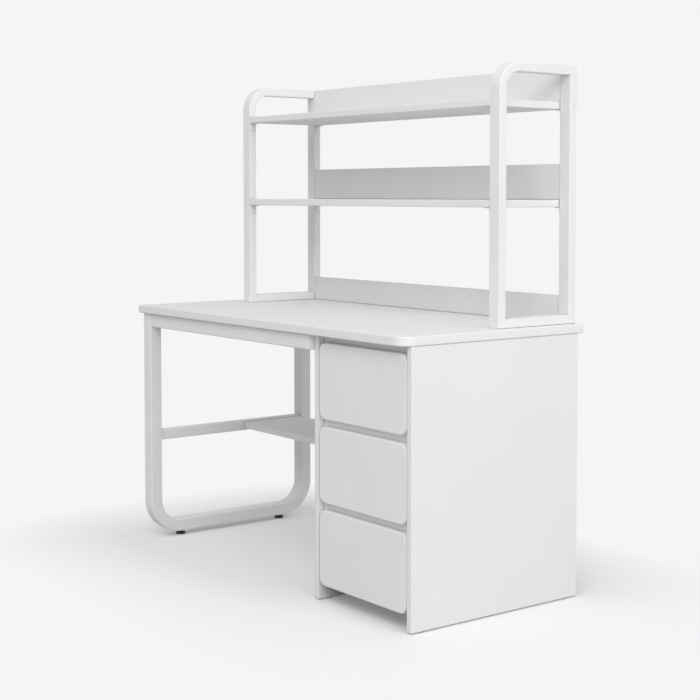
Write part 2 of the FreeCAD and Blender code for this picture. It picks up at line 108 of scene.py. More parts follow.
# %% Wires
class Wire:
    """One output socket of a node tree, which plain arithmetic turns into Math nodes."""

    def __init__(self, bench, socket):
        self.bench = bench
        self.socket = socket

    def other(self, output):
        """The wire of another output of the same node."""
        return Wire(self.bench, find_socket(self.socket.node.outputs, output))

    def maths(self, operation, first, second=0.0):
        return self.bench.node("ShaderNodeMath", {"operation": operation}, {0: first, 1: second})

    def __add__(self, value):
        return self.maths("ADD", self, value)

    def __sub__(self, value):
        return self.maths("SUBTRACT", self, value)

    def __rsub__(self, value):
        return self.maths("SUBTRACT", value, self)

    def __mul__(self, value):
        return self.maths("MULTIPLY", self, value)

    def __pow__(self, value):
        return self.maths("POWER", self, value)

    def __gt__(self, value):
        return self.maths("GREATER_THAN", self, value)

    def __abs__(self):
        return self.maths("ABSOLUTE", self)

    def larger(self, value):
        return self.maths("MAXIMUM", self, value)

    def smaller(self, value):
        return self.maths("MINIMUM", self, value)

    __radd__ = __add__
    __rmul__ = __mul__


def find_socket(sockets, key):
    """A socket by its number, or by its identifier or name."""
    if isinstance(key, int):
        return sockets[key]
    return next(socket for socket in sockets if key in (socket.identifier, socket.name))


print("wires ready")

# %% [markdown]
# A bench holds one tree while it is built. Its node method adds any node to a material or a shape alike: the
# settings first, because they decide which sockets a node has, and then the values or links of the sockets.


# %% Node bench
class Bench:
    """A node tree under construction."""

    def __init__(self, tree):
        self.tree = tree

    def node(self, kind, settings=(), sockets=(), output=0):
        """Add any node, and return the wire of one of its outputs, unless it has none."""
        made = self.tree.nodes.new(kind)
        for name, value in dict(settings).items():
            setattr(made, name, value)
        for key, value in dict(sockets).items():
            self.plug(value, find_socket(made.inputs, key))
        return None if output is None else Wire(self, find_socket(made.outputs, output))

    def plug(self, value, socket):
        """Link a wire to a socket, or set the socket's plain value."""
        if isinstance(value, Wire):
            self.tree.links.new(value.socket, socket)
        else:
            socket.default_value = value

    def mix(self, mask, first, second):
        """A colour between two others."""
        colours = {"Factor_Float": mask, "A_Color": first, "B_Color": second}
        return self.node("ShaderNodeMix", {"data_type": "RGBA"}, colours, output="Result_Color")


print("node bench ready")

# %% [markdown]
# A finish is a Principled shader with a few helpers round it. Patterns read Object coordinates, which on
# these pieces are plain metres in the desk's own frame, so a noise of scale 1000 has grains of about a
# millimetre. The Bevel node rounds the shading of a sharp edge without touching the mesh, as paint and foil
# do on the real desk, and a Bump node on top of it carries the fine relief. Where two pieces meet, a thin
# dark line of painted shade and dust goes into the colour. An Ambient Occlusion node that looks only a few
# millimetres far finds where it falls.

# %% Finish helpers
EDGE_SAMPLES = 6
# Sizes of the painted shade and dust in the joint lines, drawn from an Ambient Occlusion mask
JOINT_SAMPLES = 8
JOINT_REACH = 0.005
JOINT_OPEN, JOINT_SHUT = 0.92, 0.5
JOINT_SHADE_DUST_SHARE = 0.45


def grey(level, tint=0.0):
    """A neutral colour, a touch cooler where the tint is positive."""
    return (level - tint, level, level + tint, 1)


# The colour of the painted shade and dust in the joint lines
JOINT_SHADE_DUST_TONE = grey(0.30)


class Finish(Bench):
    """A Principled material and the patterns that feed it, in place of the plain values it starts with."""

    def __init__(self, name, roughness, metallic=0.0):
        self.material = bpy.data.materials.new(name)
        self.material.use_nodes = True
        super().__init__(self.material.node_tree)
        self.shader = self.tree.nodes["Principled BSDF"]
        self.feed("Roughness", roughness)
        self.feed("Metallic", metallic)
        self.place = self.node("ShaderNodeTexCoord", output="Object")

    def feed(self, socket, value):
        """Give a socket of the shader a wire or a plain value."""
        self.plug(value, self.shader.inputs[socket])

    def fed(self, socket):
        """The wire that feeds a socket of the shader so far."""
        return Wire(self, self.shader.inputs[socket].links[0].from_socket)

    def noise(self, scale, detail, stretch=(1, 1, 1)):
        """Grains of about 1/scale metres, drawn out along an axis where stretch is small."""
        place = self.node("ShaderNodeMapping", sockets={"Vector": self.place, "Scale": stretch})
        return self.node("ShaderNodeTexNoise", sockets={"Vector": place, "Scale": scale, "Detail": detail})

    def ramp(self, value, low, high):
        """A mask that rises from 0 to 1 between two values."""
        return self.node("ShaderNodeMapRange", sockets={"Value": value, "From Min": low, "From Max": high})

    def shades(self, pattern, low, high, dark, light):
        """A colour that goes from dark to light as a pattern rises between two values."""
        return self.mix(self.ramp(pattern, low, high), dark, light)

    def paint_joint_shade_and_dust(self, tone):
        """A tone with dark lines of painted shade and dust where another piece meets this surface."""
        sky = self.node("ShaderNodeAmbientOcclusion", {"samples": JOINT_SAMPLES}, {"Distance": JOINT_REACH},
                        output="AO")
        # The occlusion mask paints shade, with some dust, into the colour where pieces meet
        return self.mix(self.ramp(sky, JOINT_OPEN, JOINT_SHUT) * JOINT_SHADE_DUST_SHARE, tone, JOINT_SHADE_DUST_TONE)

    def relief(self, height, depth, edge):
        """Fine relief over edges rounded to a small radius."""
        rounded = self.node("ShaderNodeBevel", {"samples": EDGE_SAMPLES}, {"Radius": edge})
        sockets = {"Height": height, "Distance": depth, "Normal": rounded}
        self.feed("Normal", self.node("ShaderNodeBump", sockets=sockets))


finishes = {}
print("finish helpers ready")

# %% [markdown]
# The worktop, shelves and panels are board faced with melamine: matt white paper pressed with a fine pearl
# texture. Close up it is pearled, and across a whole panel it is very slightly uneven in tone and in gloss.
# Two noises do that, a slow one for the panel and a fine one for the pearl.

# %% White laminate
PEARL_SHARE = 0.25
BOARD_EDGE = 0.0015


def white_laminate(name):
    finish = Finish(name, roughness=0.73)
    cloud = finish.noise(scale=4, detail=3)
    pearl = finish.noise(scale=900, detail=3)
    tone = finish.shades(cloud, low=0.35, high=0.65, dark=grey(0.795), light=grey(0.815, tint=0.001))
    fleck = finish.ramp(pearl, low=0.3, high=0.75) * PEARL_SHARE
    tone = finish.mix(fleck, tone, grey(0.84))
    # Joint lines of painted shade and dust darken the laminate's tone
    finish.feed("Base Color", finish.paint_joint_shade_and_dust(tone))
    least, by_cloud, by_pearl = 0.64, 0.08, 0.10
    finish.feed("Roughness", least + cloud * by_cloud + pearl * by_pearl)
    finish.relief(pearl, depth=0.00004, edge=BOARD_EDGE)
    return finish


finishes["white_laminate"] = white_laminate("white_laminate")
print("made", finishes["white_laminate"].material.name)

# %% [markdown]
# The worktop's edge is a plain plastic band, glued on and rounded over, so a hair line runs just inside the
# edge where the band meets the laminate. The distance in from the outline finds that line: the nearest of the
# four sides, with the wide corner by the drawers measured from its own centre.

# %% Worktop with an edge band
BAND_LINE = 0.0022
BAND_LINE_HALF = 0.00025
BAND_SHARE, BAND_TONE = 0.6, grey(0.815)
LINE_SHARE, LINE_TONE = 0.35, grey(0.35)
NEAR_CORNER = 0.045


def worktop_laminate(name, low, high):
    """White laminate with a band along the outline of the board between two corners."""
    finish = white_laminate(name)
    x = finish.node("ShaderNodeSeparateXYZ", sockets={"Vector": finish.place}, output="X")
    y = x.other("Y")
    right = x - (high.x - NEAR_CORNER)
    front = (low.y + NEAR_CORNER) - y
    past_x = right.larger(0.0)
    past_y = front.larger(0.0)
    from_centre = (past_x * past_x + past_y * past_y) ** 0.5
    near = NEAR_CORNER - from_centre - right.larger(front).smaller(0.0)
    far = (x - low.x).smaller(high.y - y)
    inset = near.smaller(far)
    line = finish.ramp(abs(inset - BAND_LINE), BAND_LINE_HALF, 0.0)
    band = finish.ramp(inset, BAND_LINE + BAND_LINE_HALF, BAND_LINE)
    plain = finish.mix(band * BAND_SHARE, finish.fed("Base Color"), BAND_TONE)
    finish.feed("Base Color", finish.mix(line * LINE_SHARE, plain, LINE_TONE))
    return finish


worktop = worktop_laminate("worktop_laminate", *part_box("desktop"))
print("made", worktop.material.name)

# %% [markdown]
# The drawer fronts are wrapped in a smoother satin foil that rolls over the rounded edges without a seam.
# The foil shows a long, faint waviness in its gloss and hardly any grain. A thin coat gives it its sheen.

# %% Drawer front foil
FOIL_COAT = {"Coat Weight": 0.08, "Coat Roughness": 0.25}
FOIL_GRAIN = 0.4


def satin_foil(name):
    finish = Finish(name, roughness=0.4)
    wave = finish.noise(scale=9, detail=2)
    fine = finish.noise(scale=1600, detail=2)
    tone = finish.shades(wave, low=0.3, high=0.7, dark=grey(0.80), light=grey(0.82, tint=0.002))
    finish.feed("Base Color", tone)
    least, by_wave, by_fine = 0.33, 0.10, 0.05
    finish.feed("Roughness", least + wave * by_wave + fine * by_fine)
    finish.relief(fine * FOIL_GRAIN + wave, depth=0.00003, edge=0.001)
    for socket, value in FOIL_COAT.items():
        finish.feed(socket, value)
    return finish


finishes["white_drawer_front"] = satin_foil("white_drawer_front")
print("made", finishes["white_drawer_front"].material.name)

# %% [markdown]
# Powder coat melts into a skin with a soft orange peel a few millimetres across, and here and there a fine
# grain of powder shows. It is glossier than the boards, so the peel is seen in its highlights.

# %% Powder coat
POWDER_RISE = 0.3


def powder_coat(name):
    finish = Finish(name, roughness=0.5)
    peel = finish.noise(scale=420, detail=2)
    grain = finish.noise(scale=2600, detail=1)
    slow = finish.noise(scale=6, detail=2)
    tone = finish.shades(slow, low=0.3, high=0.7, dark=grey(0.80), light=grey(0.825, tint=0.002))
    # Joint lines of painted shade and dust darken the powder coat's tone
    finish.feed("Base Color", finish.paint_joint_shade_and_dust(tone))
    least, by_slow, by_grain = 0.42, 0.06, 0.10
    finish.feed("Roughness", least + slow * by_slow + grain * by_grain)
    specks = finish.ramp(grain, low=0.62, high=0.8) * POWDER_RISE
    finish.relief(peel + specks, depth=0.00006, edge=0.002)
    return finish


finishes["white_powder_coat"] = powder_coat("white_powder_coat")
print("made", finishes["white_powder_coat"].material.name)

# %% [markdown]
# Inside the drawers the boards have a plain printed foil. Its faint straight fibres run along the drawer, so
# the noise is stretched along Y.


# %% Drawer box foil
def box_foil(name):
    finish = Finish(name, roughness=0.5)
    fibre = finish.noise(scale=500, detail=3, stretch=(1, 0.03, 1))
    finish.feed("Base Color", finish.shades(fibre, low=0.3, high=0.7, dark=grey(0.74), light=grey(0.79)))
    least, by_fibre = 0.44, 0.14
    finish.feed("Roughness", least + fibre * by_fibre)
    finish.relief(fibre, depth=0.00004, edge=0.0006)
    return finish


finishes["drawer_box_board"] = box_foil("drawer_box_board")
print("made", finishes["drawer_box_board"].material.name)

# %% [markdown]
# The slides, bushes and screws are zinc plated. Rolled strip keeps long draw marks, and bright zinc is a
# little patchy, with a hint of blue. A metal's look is mostly what it reflects, so most of the work is in the
# roughness. Both noises are stretched along Y, the way that the strip was rolled.


# %% Zinc plate
def zinc_plate(name):
    finish = Finish(name, roughness=0.3, metallic=1.0)
    marks = finish.noise(scale=900, detail=3, stretch=(1, 0.02, 1))
    patch = finish.noise(scale=90, detail=2, stretch=(1, 0.15, 1))
    dull, bright = grey(0.69, tint=0.008), grey(0.74, tint=0.010)
    finish.feed("Base Color", finish.shades(patch, low=0.25, high=0.75, dark=dull, light=bright))
    least, by_marks, by_patch = 0.24, 0.18, 0.04
    finish.feed("Roughness", least + marks * by_marks + patch * by_patch)
    finish.relief(marks, depth=0.00002, edge=0.0004)
    return finish


finishes["zinc_steel"] = zinc_plate("zinc_steel")
print("made", finishes["zinc_steel"].material.name)

# %% [markdown]
# Feet, glides and tube plugs are moulded plastic with a sparked texture from the mould. One function makes
# the three colours.


# %% Moulded plastic
def moulded_plastic(name, dark, light):
    finish = Finish(name, roughness=0.5)
    spark = finish.noise(scale=1400, detail=4)
    flow = finish.noise(scale=80, detail=2)
    finish.feed("Base Color", finish.mix(flow, grey(dark), grey(light)))
    least, by_spark = 0.42, 0.2
    finish.feed("Roughness", least + spark * by_spark)
    finish.relief(spark, depth=0.00008, edge=0.0008)
    return finish


PLASTICS = {"black_plastic": (0.012, 0.022), "grey_plastic": (0.33, 0.39), "white_plastic": (0.78, 0.81)}
for name, (dark, light) in PLASTICS.items():
    finishes[name] = moulded_plastic(name, dark, light)
print("made", ", ".join(PLASTICS))

# %% [markdown]
# The record of the frame names the finish of every piece. These pieces keep their shape, so only their
# material slots are filled. The worktop then gets its own laminate, the one with the edge band.

# %% Give each piece of the frame its finish
subparts = frame["record"]["subparts"]
for subpart in subparts:
    materials = nodes[subpart["node"]].data.materials
    materials.clear()
    materials.append(finishes[subpart["material_slot"]].material)
nodes["desktop"].data.materials[0] = worktop.material
print("finished", len(subparts), "pieces")

# %% [markdown]
# Shapes that follow a path, or that repeat, come from Geometry Nodes. A tree takes a starting mesh and named
# sizes. Every tree ends in the same way: its instances become real, faces turn smooth while corners stay
# sharp, and the material is set.

# %% Shape trees
SMOOTH_ANGLE = math.radians(40)


class Shape(Bench):
    """A Geometry Nodes tree whose given wire is the starting mesh, with the named sizes as other outputs."""

    def __init__(self, name, sizes, vectors=()):
        super().__init__(bpy.data.node_groups.new(name, "GeometryNodeTree"))
        interface = self.tree.interface
        interface.new_socket("Geometry", in_out="INPUT", socket_type="NodeSocketGeometry")
        interface.new_socket("Geometry", in_out="OUTPUT", socket_type="NodeSocketGeometry")
        for size in sizes:
            interface.new_socket(size, in_out="INPUT", socket_type="NodeSocketFloat")
        for vector in vectors:
            interface.new_socket(vector, in_out="INPUT", socket_type="NodeSocketVector")
        self.given = self.node("NodeGroupInput")

    def end(self, geometry, material):
        """Realize the instances, shade them, set the material and hand the geometry out."""
        real = self.node("GeometryNodeRealizeInstances", sockets={"Geometry": geometry})
        real = self.node("GeometryNodeSetShadeSmooth", {"domain": "FACE"},
                         {"Geometry": real, "Shade Smooth": True})
        angle = self.node("GeometryNodeInputMeshEdgeAngle", output="Unsigned Angle")
        real = self.node("GeometryNodeSetShadeSmooth", {"domain": "EDGE"},
                         {"Geometry": real, "Selection": angle > SMOOTH_ANGLE, "Shade Smooth": False})
        done = self.node("GeometryNodeSetMaterial", sockets={"Geometry": real, "Material": material})
        self.node("NodeGroupOutput", sockets={"Geometry": done}, output=None)

    def make(self, name, start_mesh, sizes):
        """Run the tree on a starting mesh and keep the result as a plain mesh object."""
        carrier = put_in_scene(name + "_carrier", start_mesh)
        modifier = carrier.modifiers.new("shape", "NODES")
        modifier.node_group = self.tree
        for item in self.tree.interface.items_tree:
            if item.item_type == "SOCKET" and item.in_out == "INPUT" and item.name in sizes:
                modifier[item.identifier] = sizes[item.name]
        return plain_mesh(name, carrier)


print("shape trees ready")

# %% [markdown]
# The result of a modifier is kept as a plain mesh, because that is what moves and is handed on. A Weighted
# Normal modifier first keeps the large flat sides flat beside their small roundings. Every finished piece
# then rides on a body of the frame, and where it stands for plainer pieces of the frame, those are hidden.


# %% Plain meshes on their bodies
def plain_mesh(name, carrier):
    """Keep a carrier's result as a plain mesh object, with flat sides shaded flat."""
    carrier.modifiers.new("flat_sides", "WEIGHTED_NORMAL").keep_sharp = True
    depsgraph = bpy.context.evaluated_depsgraph_get()
    mesh = bpy.data.meshes.new_from_object(carrier.evaluated_get(depsgraph))
    mesh.name = name
    bpy.data.objects.remove(carrier)
    return put_in_scene(name, mesh)


def fit(piece, body, slot, *stands_for):
    """Let a finished piece ride a body, in place of the nodes it stands for. The slot is not used."""
    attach(piece, body)
    if stands_for:
        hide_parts(*stands_for)


print("plain meshes ready")

# %% [markdown]
# The leg and the rails are rectangular steel tube. The frame's solids have flat eased corners, but a drawn
# tube has round ones, and a bend is smooth. Each tube is made again by one tree: a path of straight runs, a
# Fillet Curve node that rounds its bends, and a rounded rectangle carried along it. The path is drawn flat in
# XY, where the curve's normals can simply point up, and the tree then turns and places it.

# %% Tube tree
BEND_STEPS = 20
CORNER_STEPS = 5


def tube_tree():
    shape = Shape("bent_tube", ["Width", "Depth", "Corner", "Bend"], ["Turn", "Place"])
    given = shape.given
    path = shape.node("GeometryNodeMeshToCurve", sockets={"Mesh": given})
    bends = {"Curve": path, "Count": BEND_STEPS, "Radius": given.other("Bend"), "Limit Radius": True}
    path = shape.node("GeometryNodeFilletCurve", {"mode": "POLY"}, bends)
    path = shape.node("GeometryNodeSetCurveNormal", {"mode": "Z_UP"}, {"Curve": path})
    sides = {"Width": given.other("Depth"), "Height": given.other("Width")}
    section = shape.node("GeometryNodeCurvePrimitiveQuadrilateral", {"mode": "RECTANGLE"}, sides)
    corners = {"Curve": section, "Count": CORNER_STEPS, "Radius": given.other("Corner"), "Limit Radius": True}
    section = shape.node("GeometryNodeFilletCurve", {"mode": "POLY"}, corners)
    sweep = {"Curve": path, "Profile Curve": section, "Fill Caps": True}
    tube = shape.node("GeometryNodeCurveToMesh", sockets=sweep)
    stand = {"Geometry": tube, "Translation": given.other("Place"), "Rotation": given.other("Turn")}
    shape.end(shape.node("GeometryNodeTransform", sockets=stand), finishes["white_powder_coat"].material)
    return shape


tubes = tube_tree()
print("tube tree:", len(tubes.tree.nodes), "nodes")

# %% [markdown]
# The leg is one tube bent twice to a U. A crossbar joins its two posts, and a top rail and two apron rails
# lie under the worktop. All of them are straight between their bends, so their paths need only the ends and
# corners, which come from the boxes of the frame's own pieces. A path runs along the middle of its tube, so
# its bend is tighter than the tube's outer bend by half the tube's depth.

# %% Leg and rails
TUBE_CORNER = 0.004
LEG_DEPTH = 0.039
LEG_BEND = 0.110
QUARTER_TURN = math.pi / 2
ACROSS_DESK = (QUARTER_TURN, 0, QUARTER_TURN)


def path_mesh(name, points):
    """A chain of straight runs in the XY plane."""
    mesh = bpy.data.meshes.new(name)
    steps = [(i, i + 1) for i in range(len(points) - 1)]
    mesh.from_pydata([(x, y, 0) for x, y in points], steps, [])
    return mesh


def steel_tube(node, points, width, depth, bend=0.0, **stand):
    """Make a tube along a flat path where its node is."""
    sizes = {"Width": width, "Depth": depth, "Corner": TUBE_CORNER, "Bend": bend, **stand}
    fit(tubes.make(node + "_round", path_mesh(node, points), sizes), "desk_frame", "white_powder_coat", node)


low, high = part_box("left_leg_tube")
half = LEG_DEPTH / 2
front_y, rear_y, bar_z = low.y + half, high.y - half, low.z + half
leg_path = [(front_y, high.z), (front_y, bar_z), (rear_y, bar_z), (rear_y, high.z)]
steel_tube("left_leg_tube", leg_path, high.x - low.x, LEG_DEPTH, LEG_BEND - half,
           Turn=ACROSS_DESK, Place=((low.x + high.x) / 2, 0, 0))
for node in ("left_leg_crossbar", "left_leg_top_rail"):
    low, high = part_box(node)
    middle = (low + high) / 2
    steel_tube(node, [(low.y, middle.z), (high.y, middle.z)], high.x - low.x, high.z - low.z,
               Turn=ACROSS_DESK, Place=(middle.x, 0, 0))
for node in ("front_apron_rail", "rear_apron_rail"):
    low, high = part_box(node)
    middle = (low + high) / 2
    steel_tube(node, [(low.x, middle.y), (high.x, middle.y)], high.z - low.z, high.y - low.y,
               Place=(0, 0, middle.z))

# %% [markdown]
# The next shapes are drawn point by point, as closed loops that faces join. Two helpers are enough for all of
# them: one joins two loops, and one makes a mesh of the points and faces, smooth except at its corners.


# %% Loops and meshes
def join_loops(first, second, count):
    """Faces between two closed loops of points, from the number of the first point of each."""
    after = [(spot + 1) % count for spot in range(count)]
    return [(first + spot, first + after[spot], second + after[spot], second + spot) for spot in range(count)]


def drawn_mesh(name, verts, faces, slot, smooth=True):
    """A mesh of points and faces in one of the finishes."""
    mesh = bpy.data.meshes.new(name)
    mesh.from_pydata(verts, [], faces)
    mesh.materials.append(finishes[slot].material)
    if smooth:
        mesh.shade_smooth()
        mesh.set_sharp_from_angle(angle=SMOOTH_ANGLE)
    return mesh


print("loops and meshes ready")

# %% [markdown]
# Each side frame of the hutch is welded from a bent tube, a rear post and a bottom rail, and the welds are
# ground flush, so under the paint it is one continuous frame. It is drawn as one mesh: the frame's outline,
# drawn in by a growing inset, gives one closed loop for each point of the tube's section, and neighbouring
# loops are joined by faces. An inset of a square corner stays square, so the corners are true mitres.

# %% Outline and section of a side frame
HUTCH_BEND = 0.070
HUTCH_CORNER = 0.003


def rounded_section(deep, wide, corner):
    """A tube's section as (inset, across) points, with round corners."""
    points = []
    middles = ((deep - corner, wide / 2 - corner), (corner, wide / 2 - corner),
               (corner, corner - wide / 2), (deep - corner, corner - wide / 2))
    for quarter, (inset, across) in enumerate(middles):
        for step in range(CORNER_STEPS + 1):
            angle = QUARTER_TURN * (quarter + step / CORNER_STEPS)
            points.append((inset + corner * math.cos(angle), across + corner * math.sin(angle)))
    return points


def frame_outline(low, high, inset):
    """A side frame's outline in (y, z), drawn in by an inset. Only its front top corner is round."""
    radius = HUTCH_BEND - inset
    arc = []
    for step in range(BEND_STEPS + 1):
        angle = QUARTER_TURN * (1 + step / BEND_STEPS)
        arc.append((low.y + HUTCH_BEND + radius * math.cos(angle),
                    high.z - HUTCH_BEND + radius * math.sin(angle)))
    front, rear = low.y + inset, high.y - inset
    bottom, top = low.z + inset, high.z - inset
    return arc + [(front, bottom), (rear, bottom), (rear, top)]


print("outline and section ready")

# %% [markdown]
# Each frame is drawn over the boxes of the three pieces that it stands for, so its depth is the bottom rail's
# height and its rear is the rear post's. The frame itself is a ring, so its last loop joins its first.


# %% Hutch side frames
def side_frame(side):
    """Draw one side frame and fit it in place of its three pieces."""
    parts = [f"hutch_{side}_{part}" for part in ("bent_tube", "rear_post", "bottom_rail")]
    tube_box, post_box, rail_box = (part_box(part) for part in parts)
    low = tube_box[0]
    high = Vector((tube_box[1].x, post_box[1].y, tube_box[1].z))
    middle = (low.x + high.x) / 2
    section = rounded_section(rail_box[1].z - low.z, high.x - low.x, HUTCH_CORNER)
    verts = []
    for inset, across in section:
        verts += [(middle + across, y, z) for y, z in frame_outline(low, high, inset)]
    count = len(verts) // len(section)
    faces = []
    for ring in range(len(section)):
        after = (ring + 1) % len(section)
        faces += join_loops(after * count, ring * count, count)
    mesh = drawn_mesh(f"hutch_{side}_side_frame", verts, faces, "white_powder_coat")
    piece = plain_mesh(f"hutch_{side}_side_frame_round", put_in_scene(mesh.name + "_carrier", mesh))
    fit(piece, "desk_frame", "white_powder_coat", *parts)
    return piece


for side in ("left", "right"):
    print(side, "side frame:", len(side_frame(side).data.polygons), "faces")

# %% [markdown]
# A plastic cap closes the rear end of each top rail. Only its low crown shows behind the frame: a rounded
# rectangle that rises about half a millimetre and draws in a little, so a small stack of loops is enough.

# %% Tube caps
CAP_MARGIN = 0.002
CAP_STEPS = ((0.0, -0.0008), (0.0, 0.0003), (0.0006, 0.0006))  # how far each loop lies in, and how far out


def add_cap(low, high, verts, faces):
    """Add one cap on the rear face of a rail's end."""
    wide, tall = high.x - low.x - 2 * CAP_MARGIN, high.z - low.z - 2 * CAP_MARGIN
    middle = (low + high) / 2
    start = len(verts)
    for inset, out in CAP_STEPS:
        loop = rounded_section(tall - 2 * inset, wide - 2 * inset, HUTCH_CORNER)
        verts += [(middle.x + across, high.y + out, middle.z + up - tall / 2 + inset) for up, across in loop]
    count = len(loop)
    for ring in range(len(CAP_STEPS) - 1):
        faces += join_loops(start + ring * count, start + (ring + 1) * count, count)
    faces.append(tuple(reversed(range(start, start + count))))
    faces.append(tuple(range(len(verts) - count, len(verts))))


verts, faces = [], []
plug_low, plug_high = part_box("hutch_tube_plugs")
for side in ("left", "right"):
    rail_low, rail_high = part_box(f"hutch_{side}_bent_tube")
    add_cap(Vector((rail_low.x, plug_low.y, plug_low.z)), Vector((rail_high.x, plug_high.y, plug_high.z)),
            verts, faces)
cap_mesh = drawn_mesh("hutch_tube_caps", verts, faces, "white_plastic", smooth=False)
fit(put_in_scene("hutch_tube_caps", cap_mesh), "desk_frame", "white_plastic", "hutch_tube_plugs")
print("tube caps:", len(faces), "faces")

# %% [markdown]
# The leg stands on two levelling feet: a moulded pad with a hexagon to turn it by, on a threaded steel stem.
# Pad and stem are turned shapes, so each is a profile of (radius, height) points spun round an upright axis.
# A hexagon is the same with only six steps to the turn.


# %% Turned pieces
def spin(profile, sides, verts, faces, axis):
    """Add a closed solid of turning round an upright axis at (x, y), with heights from the floor."""
    start = len(verts)
    for radius, up in profile:
        for step in range(sides):
            angle = math.tau * step / sides
            verts.append((axis[0] + radius * math.cos(angle), axis[1] + radius * math.sin(angle), up))
    for ring in range(len(profile) - 1):
        faces += join_loops(start + ring * sides, start + (ring + 1) * sides, sides)
    faces.append(tuple(reversed(range(start, start + sides))))
    faces.append(tuple(range(len(verts) - sides, len(verts))))


def turned_piece(name, shells, axis, body, slot, *stands_for):
    """Make one piece of several solids of turning, each a profile and its number of sides."""
    verts, faces = [], []
    for profile, sides in shells:
        spin(profile, sides, verts, faces, axis)
    fit(put_in_scene(name, drawn_mesh(name, verts, faces, slot)), body, slot, *stands_for)


print("turned pieces ready")

# %% [markdown]
# The profile of the pad has a small round at its foot and a wider one at its shoulder. The thread shows as
# ridges one pitch apart, and only a few of them are seen between the pad and the tube, so they are drawn as
# rings and not as a true helix.

# %% Levelling feet
HEXAGON = 6
SPIN_STEPS = 36
PAD_PROFILE = ((0.0140, 0.0), (0.0148, 0.0003), (0.0150, 0.0009), (0.0150, 0.0060), (0.0147, 0.0068),
               (0.0138, 0.0072), (0.0090, 0.0074))
HEX_RADIUS, HEX_LOW, HEX_HIGH, HEX_EASE = 0.0075, 0.0070, 0.0090, 0.0006
STEM_LOW, STEM_HIGH = 0.0086, 0.0350
THREAD_PITCH, THREAD_CREST, THREAD_ROOT = 0.00125, 0.0040, 0.00345

hexagon = ((HEX_RADIUS, HEX_LOW), (HEX_RADIUS, HEX_HIGH - HEX_EASE), (HEX_RADIUS - HEX_EASE, HEX_HIGH))
turns = int((STEM_HIGH - STEM_LOW) / THREAD_PITCH)
thread = []
for turn in range(turns):
    root_z = STEM_LOW + turn * THREAD_PITCH
    thread += [(THREAD_ROOT, root_z), (THREAD_CREST, root_z + THREAD_PITCH / 2)]
thread.append((THREAD_ROOT, STEM_LOW + turns * THREAD_PITCH))
for end in ("front", "rear"):
    low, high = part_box(end + "_levelling_foot")
    axis = ((low.x + high.x) / 2, (low.y + high.y) / 2)
    turned_piece(end + "_foot_pad", ((PAD_PROFILE, SPIN_STEPS), (hexagon, HEXAGON)), axis, end + "_foot",
                 "black_plastic", end + "_levelling_foot")
    turned_piece(end + "_foot_stem", ((thread, SPIN_STEPS),), axis, end + "_foot", "zinc_steel")
print("levelling feet: 2, with", turns, "turns of thread")

# %% [markdown]
# The desk is held together by socket-head bolts and pan-head screws. A head is a short cylinder, its top
# drawn up and in to a dome, with a hexagon cut out of it. One tree sets a head on every point of a mesh. The
# points carry the direction that the head faces, and a seeded random turn keeps the sockets from lining up.

# %% Screw tree
HEAD_SIDES = 20
DOME_RISE, DOME_SHARE = 0.5, 0.72  # of the height of the rim, and of its width
CUT_LONG, CUT_UP = 2.0, 1.2  # of the height of the rim
TURN_SEED = 5


def screw_tree():
    shape = Shape("screw_heads", ["Radius", "Tall", "Socket Radius"])
    given, tall = shape.given, shape.given.other("Tall")
    rim_sizes = {"Vertices": HEAD_SIDES, "Radius": given.other("Radius"), "Depth": tall}
    rim = shape.node("GeometryNodeMeshCylinder", sockets=rim_sizes, output="Mesh")
    rise = {"Mesh": rim, "Selection": rim.other("Top"), "Offset Scale": tall * DOME_RISE, "Individual": False}
    dome = shape.node("GeometryNodeExtrudeMesh", sockets=rise, output="Mesh")
    drawn_in = {"Geometry": dome, "Selection": dome.other("Top"), "Scale": DOME_SHARE}
    head = shape.node("GeometryNodeScaleElements", {"domain": "FACE"}, drawn_in)
    cut_sizes = {"Vertices": HEXAGON, "Radius": given.other("Socket Radius"), "Depth": tall * CUT_LONG}
    cut = shape.node("GeometryNodeMeshCylinder", sockets=cut_sizes, output="Mesh")
    up = shape.node("ShaderNodeCombineXYZ", sockets={"Z": tall * CUT_UP})
    cut = shape.node("GeometryNodeTransform", sockets={"Geometry": cut, "Translation": up})
    head = shape.node("GeometryNodeMeshBoolean", {"operation": "DIFFERENCE"}, {"Mesh 1": head, "Mesh 2": cut})
    facing = shape.node("GeometryNodeInputNamedAttribute", {"data_type": "FLOAT_VECTOR"}, {"Name": "facing"})
    upright = shape.node("FunctionNodeAlignRotationToVector", {"axis": "Z"}, {"Vector": facing})
    angle = shape.node("FunctionNodeRandomValue", {"data_type": "FLOAT"},
                       {"Max_001": math.tau, "Seed": TURN_SEED}, output="Value_001")
    about_axis = shape.node("ShaderNodeCombineXYZ", sockets={"Z": angle})
    turn = shape.node("FunctionNodeRotateRotation", {"rotation_space": "LOCAL"},
                      {"Rotation": upright, "Rotate By": about_axis})
    heads = shape.node("GeometryNodeInstanceOnPoints",
                       sockets={"Points": given, "Instance": head, "Rotation": turn})
    shape.end(heads, finishes["zinc_steel"].material)
    return shape


screws = screw_tree()
print("screw tree:", len(screws.tree.nodes), "nodes")

# %% [markdown]
# The photograph shows one bolt head, on the rear post at the right, level with the upper shelf. Its twin sits
# on the left post, and two larger bolts go through the leg's crossbar into the lower shelf. Each kind of head
# is one mesh on one body, so its places are collected first and the tree runs once.

# %% Bolts of the hutch and the lower shelf
RIGHT, LEFT, DOWN = (1, 0, 0), (-1, 0, 0), (0, 0, -1)
BOLT_INSET = 0.045


